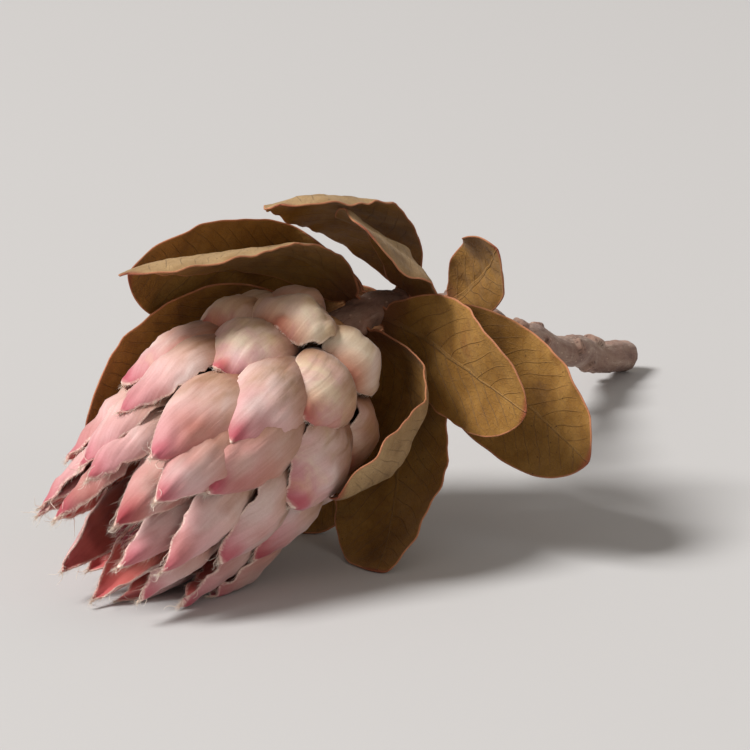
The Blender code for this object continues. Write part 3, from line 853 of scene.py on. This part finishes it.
def bark_finish():
    """Pinkish brown bark with fine cracks along it, lenticels, and dark dents in the scars."""
    f = Finish("stem_bark", 0.78, 0.25, 0.10)
    scar, dent, end = f.parts("marks")
    where = f.read("bark")
    grit = f.noise(where, 3.5, 4.0, 0.7)
    # the cut end: pale wood with rings, the pith, and the bark's edge
    flat = f.stretched(where, (1.0, 0.0, 1.0))
    radial = f.add("VectorMath", {0: flat}, "Value", operation="LENGTH")
    rings = f.noise(f.add("CombineXYZ", {0: radial}), 2.2, 2.0)
    f.colour = f.ramp(rings, (0.35, 190, 148, 106), (0.65, 226, 194, 152))
    f.lay(f.step(radial, 1.05, 0.65), (128, 86, 58))
    f.lay(f.step(radial, 3.9, 4.3), (116, 76, 60))
    f.shade(grit, 0.5, (150, 126, 104), 0.25)
    wood = f.colour
    # the bark: pale and dark patches, a flush, cracks, lenticels, scars and grit
    patches = f.noise(f.stretched(where, (1.0, 0.35, 1.0)), 0.16, 5.0, 0.65, 0.4)
    f.colour = f.ramp(
        patches, (0.26, 110, 80, 68), (0.44, 146, 114, 100), (0.58, 168, 140, 124), (0.76, 206, 184, 168)
    )
    flush = f.step(f.noise(f.stretched(where, (1.0, 0.25, 1.0)), 0.11, 2.0), 0.52, 0.68, 0.0, 0.40)
    f.lay(flush, (186, 128, 110))
    fibres = f.noise(f.stretched(where, (1.0, 0.10, 1.0)), 1.7, 4.0, 0.65, 0.5)
    cracks = f.step(fibres, 0.42, 0.32)
    f.over(cracks, 0.45, (90, 58, 48))
    dots = f.step(f.cells(f.stretched(where, (1.0, 0.55, 1.0)), 0.55), 0.20, 0.12)
    f.over(dots, 0.50, (220, 190, 168))
    f.over(scar, 0.60, (174, 134, 114))
    f.lay(dent, (58, 36, 30))
    f.shade(grit, 0.30, (160, 150, 144))
    f.lay(end, wood)
    height = f.plus(fibres, f.times(grit, 0.3))
    height = f.plus(height, f.times(dots, 0.35))
    return f.finish(Normal=f.bump(height, 0.00034, 0.65))


def hair_finish():
    """Silky hairs: pinkish at the root and whitish towards the tip."""
    f = Finish("silky_hair", 0.55, 0.40, 0.30)
    t, _, _ = f.parts("place")
    f.colour = f.ramp(t, (0.0, 232, 190, 176), (0.45, 246, 226, 208), (1.0, 252, 244, 232))
    return f.finish()


def floret_finish():
    """Silky florets: brownish at the foot, pink in the middle and pale at the club."""
    f = Finish("floret_silk", 0.58, 0.35, 0.40)
    t, kind, _ = f.parts("place")
    silk = f.ramp(
        t, (0.0, 150, 108, 76), (0.5, 214, 160, 140), (0.85, 238, 206, 190), (1.0, 190, 122, 110)
    )
    style = f.ramp(t, (0.0, 196, 120, 110), (0.7, 220, 128, 132), (1.0, 150, 66, 76))
    f.colour = f.mix(kind, silk, style)
    streaks = f.noise(f.add("TexCoord", {}, "Object"), 1800.0, 3.0, 0.6)
    f.shade(streaks, 0.3, (170, 150, 140))
    return f.finish(Normal=f.bump(streaks, 0.0001, 0.5))


def core_finish():
    """The receptacle that the bracts grow from, light brown and fibrous."""
    f = Finish("receptacle", 0.85, 0.20)
    fibres = f.noise(f.add("TexCoord", {}, "Object"), 900.0, 5.0, 0.7)
    f.colour = f.ramp(fibres, (0.3, 168, 122, 82), (0.7, 212, 168, 122))
    return f.finish(Normal=f.bump(fibres, 0.0004, 0.7))


# Pieces


def make_bracts(axes, finish):
    """The bracts, the outer skin of each as a grid of points, and the hairs on their rims."""
    made, outer, fringe = [], [], []
    for number, bract in enumerate(bract_plan()):
        draw = random.Random(BRACT_DRAWS + number)
        u, v = blade_grid(BRACT_GRID)
        half = 0.5 * bract.width * bract_outline(bract.share, u)
        length = math.hypot(bract.tip_r - bract.root_r, bract.tip_z - bract.root_z) * BRACT_CURVED
        x, y = half * v * MM, u * length * MM
        relief = bract_relief(number, 1 - bract.share, u, v, x, y, draw)
        points = bract_surface(bract, u.ravel(), v.ravel(), relief.ravel())
        middle = pressed(placed(points, axes), BRACT_THICKNESS).reshape(*u.shape, 3)
        thins = 1 - np.exp(-rim_gap(u, v, half, length) / BRACT_THINS_OVER)
        thick = BRACT_RIM + (BRACT_THICKNESS - BRACT_RIM) * thins
        shape, faces, source, side = skins(middle, thick / 2, thick / 2)
        readings = blade_readings(u, v, half, length, side, source, bract.share, draw.random())
        name = f"bract_{number + 1:02d}"
        made.append(mesh_object(name, shape, faces, readings, finish))
        outer.append(shape[: u.size].reshape(middle.shape))
        fringe += rim_hairs(middle, u, draw, bract.share)
    return made, outer, fringe


def bract_relief(number, low, u, v, x, y, draw):
    """Soft waves, a keel, a dent below the tip, a wavy rim and papery creases on one bract."""
    soft = waves(BRACT_SOFT, number, x, y)
    rim = waves(BRACT_RIM_WAVE, number, x * 0.2, y) * v**4
    dent_at = 0.88 + draw.uniform(-0.02, 0.02)
    dent = -BRACT_DENT * (0.3 + low) * hump(u, dent_at, 0.055)
    dent = dent * hump(v, draw.uniform(-0.2, 0.2), 0.36)
    keel = BRACT_KEEL * hump(v, 0, 0.22) * ease(u / 0.4)
    creases = 0.5 - np.abs(unevenness(number + 180, x, y * 0.13, BRACT_CREASE[1]))
    folds = creases * BRACT_CREASE[0] * ease((u - 0.30) / 0.3)
    folds = folds * (0.6 + 0.4 * unevenness(number + 240, x, y, 9.0))
    broad = (soft + keel + dent) * ease((u - 0.2) / 0.3)
    return broad + rim * ease((u - 0.4) / 0.3) + folds


def rim_hairs(middle, u, draw, share):
    """Hairs along the upper rim of one bract, longer on the inner ones."""
    rows, columns = middle.shape[:2]
    first = int(np.argmax(u[:, 0] > FRINGE_FROM))
    longest = FRINGE_LENGTHS[0] + FRINGE_LENGTHS[1] * share
    hairs = []
    for _ in range(FRINGE_HAIRS[0] + int(FRINGE_HAIRS[1] * share)):
        row = min(rows - 2, first + int((rows - 1 - first) * draw.random() ** 0.8))
        column = 0 if draw.random() < 0.5 else columns - 1
        inner = 2 if column == 0 else columns - 3
        between = draw.random()
        root = middle[row, column] * (1 - between) + middle[row + 1, column] * between
        away = unit(root - middle[row, inner])
        ahead = unit(middle[row + 1, columns // 2] - middle[row - 1, columns // 2])
        way = away * 0.55 + ahead * 0.95 + scatter(draw, 1) * 0.22
        hairs.append((root, way, longest * draw.uniform(0.6, 1.5), scatter(draw, 0.25)))
    return hairs


def make_threads(outer, finish):
    """A few long loose threads between the inner bracts."""
    draw = random.Random(THREAD_DRAWS)
    radii = np.linspace(*THREAD_RADII, THREAD_STEPS + 1)
    tubes = []
    for skin in outer:
        for _ in range(THREADS_EACH):
            row = int(skin.shape[0] * draw.uniform(0.80, 0.95))
            column = draw.choice((1, skin.shape[1] - 2))
            chain = [skin[row, column]]
            way = unit(skin[row, column] - skin[row - 4, column])
            for _ in range(THREAD_STEPS):
                way = unit(way + scatter(draw, 0.35))
                chain.append(chain[-1] + way * THREAD_STEP)
            tubes.append(tube(chain, radii, THREAD_SIDES))
    points, faces = joined(tubes)
    points[:, 2] = np.maximum(points[:, 2], FLOOR_GAP)
    readings = root_to_tip(THREAD_STEPS, THREAD_SIDES, len(tubes))
    return mesh_object("loose_threads", points, faces, readings, finish)


def make_core(axes, finish):
    """The receptacle inside the bracts, finely rippled."""
    line = np.array(CORE_OUTLINE[1:-1])
    way = walked(line)
    steps = np.linspace(0, 1, CORE_RINGS) * way[-1]
    z, r = (np.interp(steps, way, values)[:, None] for values in line.T)
    turn = np.linspace(0, 2 * math.pi, CORE_SIDES, endpoint=False)
    ripple = 1 + CORE_RIPPLE * np.sin(13 * turn) * np.sin(40 * z)
    walls = placed(round_about(r * ripple, turn, z).reshape(-1, 3), axes)
    faces = ring_faces(CORE_RINGS, CORE_SIDES)
    return mesh_object("receptacle", walls, faces, {}, finish)


def make_florets(axes, finish, hair):
    """The silky florets in the heart of the head, each with a tuft, and slimmer styles between."""
    draw = random.Random(FLORET_DRAWS)
    tubes, place, hairs = [], [], []
    for k in range(FLORETS * 3):
        style = k % 3 != 0
        turn = (k / 3) * GOLDEN_ANGLE + (k % 3) * 2.1
        out = FLORET_BUNDLE * math.sqrt((k / 3 + 0.5) / FLORETS)
        tip = FLORET_TIP - FLORET_DOME * (out / FLORET_BUNDLE) ** 2
        tip = tip + (STYLE_PROUD if style else 0)
        heights = np.array((FLORET_FOOT, FLORET_FOOT + FLORET_KNEE, tip - FLORET_CLUB, tip))
        t = np.linspace(0, 1, FLORET_RINGS)
        z = heights[0] + (tip - heights[0]) * t
        spread = np.interp(z, heights, FLORET_SPREAD)
        widths = np.interp(z, heights, FLORET_WIDTHS) * FLORET_RADIUS
        widths = widths * (STYLE_SHARE if style else FLORET_SHARE)
        widths = widths * (1 + (0.9 if style else 0.25) * hump(t, 0.93, 0.04))
        widths[-1] *= 0.3
        lean = unevenness(k, z * MM, z * 0, 40.0) * 0.0004 * t
        x = out * spread * math.cos(turn) + lean
        y = out * spread * math.sin(turn) + lean * math.sin(k)
        tubes.append(tube(placed(np.stack((x, y, z), axis=1), axes), widths, FLORET_SIDES))
        reading = np.stack((t, t * 0 + style, t * 0), axis=1)
        place.append(np.repeat(reading, FLORET_SIDES, axis=0))
        for _ in range(0 if style else FLORET_HAIRS):
            along = draw.uniform(0.72, 1.0)
            height = heights[0] + (tip - heights[0]) * along
            side = draw.uniform(0, 2 * math.pi)
            ring = float(np.interp(height, heights, FLORET_WIDTHS)) * FLORET_RADIUS * 0.7
            root = round_about(out * 0.95, turn, height) + round_about(ring, side, 0)
            way = placed(round_about(0.45, side, 1.0), axes.to_3x3().to_4x4())
            hairs.append((placed(root, axes), way, draw.uniform(0.0016, 0.0034), scatter(draw, 0.2)))
    points, faces = joined(tubes)
    readings = {"place": np.concatenate(place)}
    made = mesh_object("floret_bundle", points, faces, readings, finish)
    strands("floret_hairs", hairs, FLORET_HAIR_WIDTH, hair)
    return made


def make_leaf(number, leaf, finish):
    t = stem_share(leaf.behind)
    radius = stem_radius(t)
    turn = Matrix.Rotation(math.radians(leaf.turn), 4, "Z")
    rim = 0.5 * LEAF_THICKNESS * math.cos(math.radians(leaf.base))
    out = Matrix.Translation((radius + LEAF_SEAT_GAP + rim, 0, 0))
    draw = random.Random(LEAF_DRAWS + number)
    u, v = blade_grid(LEAF_GRID)
    half = leaf_half(leaf, u)
    x, y = half * v * MM, u * leaf.length * MM
    crease = LEAF_CREASE * hump(v, 0, 0.10) * ease(u / 0.15) * (1 - ease((u - 0.6) / 0.4))
    edge = waves(LEAF_EDGE_WAVE, number, x * 0.1, y) * v**6
    relief = waves(LEAF_SOFT, number, x, y) * ease(u / 0.25) + edge * ease(u / 0.3) - crease
    relief = relief * np.sin(math.pi * np.clip(u, 0, 1)) ** 0.3
    points = leaf_surface(leaf, number, radius, u.ravel(), v.ravel(), relief.ravel())
    middle = placed(points, stem_axes(t) @ turn @ out)
    middle = pressed(middle, LEAF_THICKNESS).reshape(*u.shape, 3)
    thins = 1 - np.exp(-rim_gap(u, v, half, leaf.length) / LEAF_THINS_OVER)
    thick = LEAF_RIM + (LEAF_MIDDLE - LEAF_RIM) * thins
    thick = thick + (LEAF_THICKNESS - LEAF_MIDDLE) * (1 - ease(u / 0.15))
    midrib = MIDRIB_HEIGHT * hump(half * v, 0, MIDRIB_WIDTH) * (1 - u) ** 0.8
    shape, faces, source, side = skins(middle, thick / 2, thick / 2 + midrib)
    share = number / len(LEAVES)
    readings = blade_readings(u, v, half, leaf.length, side, source, share, draw.random())
    return mesh_object(f"leaf_{number:02d}_blade", shape, faces, readings, finish)


def make_stem(finish):
    """The stem with wrinkled bark, leaf scars, cushions under the leaves and a cut end."""
    reach = STEM_WALKED[-1]
    behind = np.linspace(STEM_START, reach, STEM_RINGS)
    turn = np.linspace(0, 2 * math.pi, STEM_SIDES, endpoint=False)
    shares = [b / 0.12 if b < 0 else stem_share(b) for b in behind]
    frames = [stem_axes(t) for t in shares]
    radii = np.array([stem_radius(t) for t in shares])
    along, around = np.meshgrid(behind, turn, indexing="ij")
    base = radii[:, None] + 0 * around
    scar, dent, height = (np.zeros_like(base) for _ in range(3))
    draw = random.Random(SCAR_SEED)
    for k in range(SCARS):
        middle = SCARS_START + SCARS_STEP * (k + draw.uniform(-SCAR_SCATTER, SCAR_SCATTER))
        size = SCAR_SIZE * draw.uniform(*SCAR_SIZES)
        off = np.angle(np.exp(1j * (around - k * GOLDEN_ANGLE))) * base
        mark_scar(size, off, along - middle, height, scar, dent)
    for leaf in LEAVES:
        off = np.angle(np.exp(1j * (around - math.radians(leaf.turn)))) * base
        foot = 1 - (off / CUSHION[0]) ** 2 - ((along - leaf.behind) / CUSHION[1]) ** 2
        foot = np.clip(foot, 0, 1)
        height = np.maximum(height, CUSHION[2] * np.sqrt(foot))
        scar = np.maximum(scar, ease(foot * 2))
    radius = base + bark_relief(along, around) + height
    rings = [placed(round_about(r, turn, 0), axes) for r, axes in zip(radius, frames)]
    # the cut end, a little rough, with its edge worn round
    for factor, sunk in CUT_RINGS:
        rough = unevenness(930, np.cos(turn) * factor * 9, np.sin(turn) * factor * 9, 4.0)
        ring = round_about(radius[-1] * factor, turn, sunk + rough * CUT_ROUGHNESS)
        rings.append(placed(ring, frames[-1]))
    points = np.stack(rings)
    points[..., 2] = np.maximum(points[..., 2], FLOOR_GAP)
    # what the bark's material reads: a place in mm with Y along the stem, and the marks
    factors = np.array([factor for factor, _ in CUT_RINGS])[:, None]
    wide = np.concatenate([base, radius[-1] * factors]) * MM
    far = np.concatenate([along, np.full((len(factors), STEM_SIDES), reach)]) * MM
    place = np.stack((wide * np.cos(turn), far, wide * np.sin(turn)), axis=-1)
    marks = np.zeros(points.shape)
    marks[:STEM_RINGS, :, 0] = scar
    marks[:STEM_RINGS, :, 1] = dent
    marks[STEM_RINGS + 1 :, :, 2] = 1
    faces = ring_faces(len(points), STEM_SIDES, turned=True)
    readings = {"bark": place.reshape(-1, 3), "marks": marks.reshape(-1, 3)}
    return mesh_object("stem_wood", points.reshape(-1, 3), faces, readings, finish)


def bark_relief(along, around):
    """Ripples that wind round the stem, and low lumps."""
    relief = 0
    twisted = around + along * BARK_TWIST
    for tall, times, bend, rate in BARK_RIPPLES:
        relief = relief + tall * np.sin(times * twisted + bend * np.sin(along * rate))
    for tall, seed, wave, wide, reach in BARK_LUMPS:
        relief = relief + tall * unevenness(seed, wave(around) * wide, along * MM, reach)
    return relief


def mark_scar(size, off, back, height, scar, dent):
    """Raises one leaf scar: a pad with three dark dents on its face, and a dark arc on its edge towards
    the head.
    """
    width, length = size * 1.30, size * 1.05
    dome = np.clip(1 - (off / width) ** 2 - (back / length) ** 2, 0, 1)
    pad = size * 0.80 * np.minimum(np.sqrt(dome), 0.72)
    face = ease(dome * 1.6 - 0.35)
    for shift in SCAR_DENTS:
        hole = hump(off, shift * width, SCAR_DENT_SIZE)
        hole = hole * hump(back, 0.12 * length, SCAR_DENT_SIZE)
        np.maximum(dent, hole * face, out=dent)
        pad = pad - SCAR_DENT_DEPTH * hole * face
    ring = hump(dome, 0.10, 0.10) * (dome > 0)
    np.maximum(dent, 0.80 * ring * (back < 0), out=dent)
    np.maximum(height, pad, out=height)
    np.maximum(scar, face, out=scar)


# Stage, light and camera


def side_view(azimuth, elevation):
    a, e = math.radians(azimuth), math.radians(elevation)
    return Vector((math.sin(a) * math.cos(e), -math.cos(a) * math.cos(e), math.sin(e)))


def make_floor():
    f = Finish("pale_floor", 0.85, 0.2)
    f.shader.inputs["Base Color"].default_value = screen(*FLOOR_TONE)
    mesh = bpy.data.meshes.new("floor")
    h = FLOOR_HALF
    mesh.from_pydata([(-h, -h, 0), (h, -h, 0), (h, h, 0), (-h, h, 0)], [], [(0, 1, 2, 3)])
    mesh.materials.append(f.material)
    floor = added("floor", mesh)


def make_light(name, towards, size, power, colour):
    data = bpy.data.lights.new(name, "AREA")
    data.shape = "DISK"
    data.size = size
    data.energy = power
    data.color = colour
    lamp = added(name, data)
    lamp.location = CAMERA_LOOKS_AT + towards.normalized() * LAMP_AWAY
    lamp.rotation_euler = (-towards).to_track_quat("-Z", "Y").to_euler()


def make_stage():
    make_floor()
    back = side_view(*CAMERA_SIDE)
    right = Vector((-back.y, back.x, 0)).normalized()
    up = Vector((0, 0, 1))
    key = up * 1.25 - right * 1.10 + back * 0.32
    fill = up * 0.5 + right * 1.0 + back * 0.9
    make_light("key", key, 2.9, 800.0, (1.0, 0.985, 0.965))
    make_light("fill", fill, 4.3, 38.0, (1.0, 0.93, 0.86))
    world = bpy.data.worlds.new("studio")
    world.use_nodes = True
    sky = world.node_tree.nodes["Background"]
    sky.inputs["Color"].default_value = SKY
    sky.inputs["Strength"].default_value = SKY_STRENGTH
    bpy.context.scene.world = world
    data = bpy.data.cameras.new("camera")
    data.sensor_width = CAMERA_SENSOR
    data.lens = data.sensor_width * CAMERA_AWAY / CAMERA_WIDTH
    camera = added("camera", data)
    camera.location = CAMERA_LOOKS_AT + back * CAMERA_AWAY
    camera.rotation_euler = (-back).to_track_quat("-Z", "Y").to_euler()
    bpy.context.scene.camera = camera
    bpy.context.scene.view_settings.view_transform = "Standard"


def main():
    head_axes = axes_at(NECK, head_direction())
    hair = hair_finish()
    bracts, outer, fringe = make_bracts(head_axes, bract_finish())
    core = make_core(head_axes, core_finish())
    strands("bract_fringe", fringe, FRINGE_WIDTH, hair)
    make_threads(outer[-THREADED_BRACTS:], hair)
    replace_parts(core, "bracts")
    for piece in bracts:
        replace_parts(piece, "bracts")
    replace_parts(make_florets(head_axes, floret_finish(), hair), "florets")
    leaf_skin = leaf_finish()
    for number, leaf in enumerate(LEAVES, 1):
        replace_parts(make_leaf(number, leaf, leaf_skin), f"leaf_{number:02d}")
    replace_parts(make_stem(bark_finish()), "stem")
    make_stage()


main()
